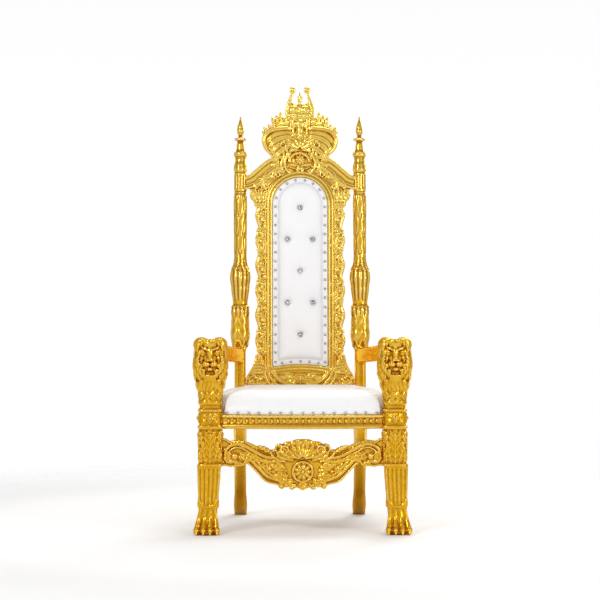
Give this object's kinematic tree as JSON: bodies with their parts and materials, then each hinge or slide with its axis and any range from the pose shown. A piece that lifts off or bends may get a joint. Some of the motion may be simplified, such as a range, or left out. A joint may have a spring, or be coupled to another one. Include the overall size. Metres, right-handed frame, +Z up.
{
  "type": "throne",
  "caption": "High-backed carved and gilded armchair with lion-head front legs, spired back posts, a crowned crest and white upholstered seat and back.",
  "frame": {"origin": "on the floor, under the middle of the bounding box", "axes": "+Z up, the sitter faces -Y, +X to the right of someone looking at the front"},
  "size_m": [0.8782, 0.7595, 1.8304],
  "materials": {
    "gold_leaf": "bright gold leaf paint over carved wood, glossy, browner in the recesses",
    "white_vinyl": "smooth white vinyl, soft sheen",
    "crystal": "cut clear crystal over a silver backing",
    "board": "plain board, matt"
  },
  "bodies": {
    "root": {"back_post_right": "gold_leaf", "back_post_left": "gold_leaf", "front_leg_right": "gold_leaf", "front_leg_left": "gold_leaf", "arm_right": "gold_leaf", "arm_left": "gold_leaf", "seat_rail_front": "gold_leaf", "seat_rail_right": "gold_leaf", "seat_rail_left": "gold_leaf", "seat_rail_back": "gold_leaf", "front_stretcher": "gold_leaf", "back_frame": "gold_leaf", "crest": "gold_leaf", "seat_pad": "white_vinyl", "back_pad": "white_vinyl", "seat_board": "board", "rear_panel": "board", "back_button_1": "crystal", "back_button_2": "crystal", "back_button_3": "crystal", "back_button_4": "crystal", "back_button_5": "crystal", "back_button_6": "crystal", "back_button_7": "crystal"}
  },
  "joints": []
}
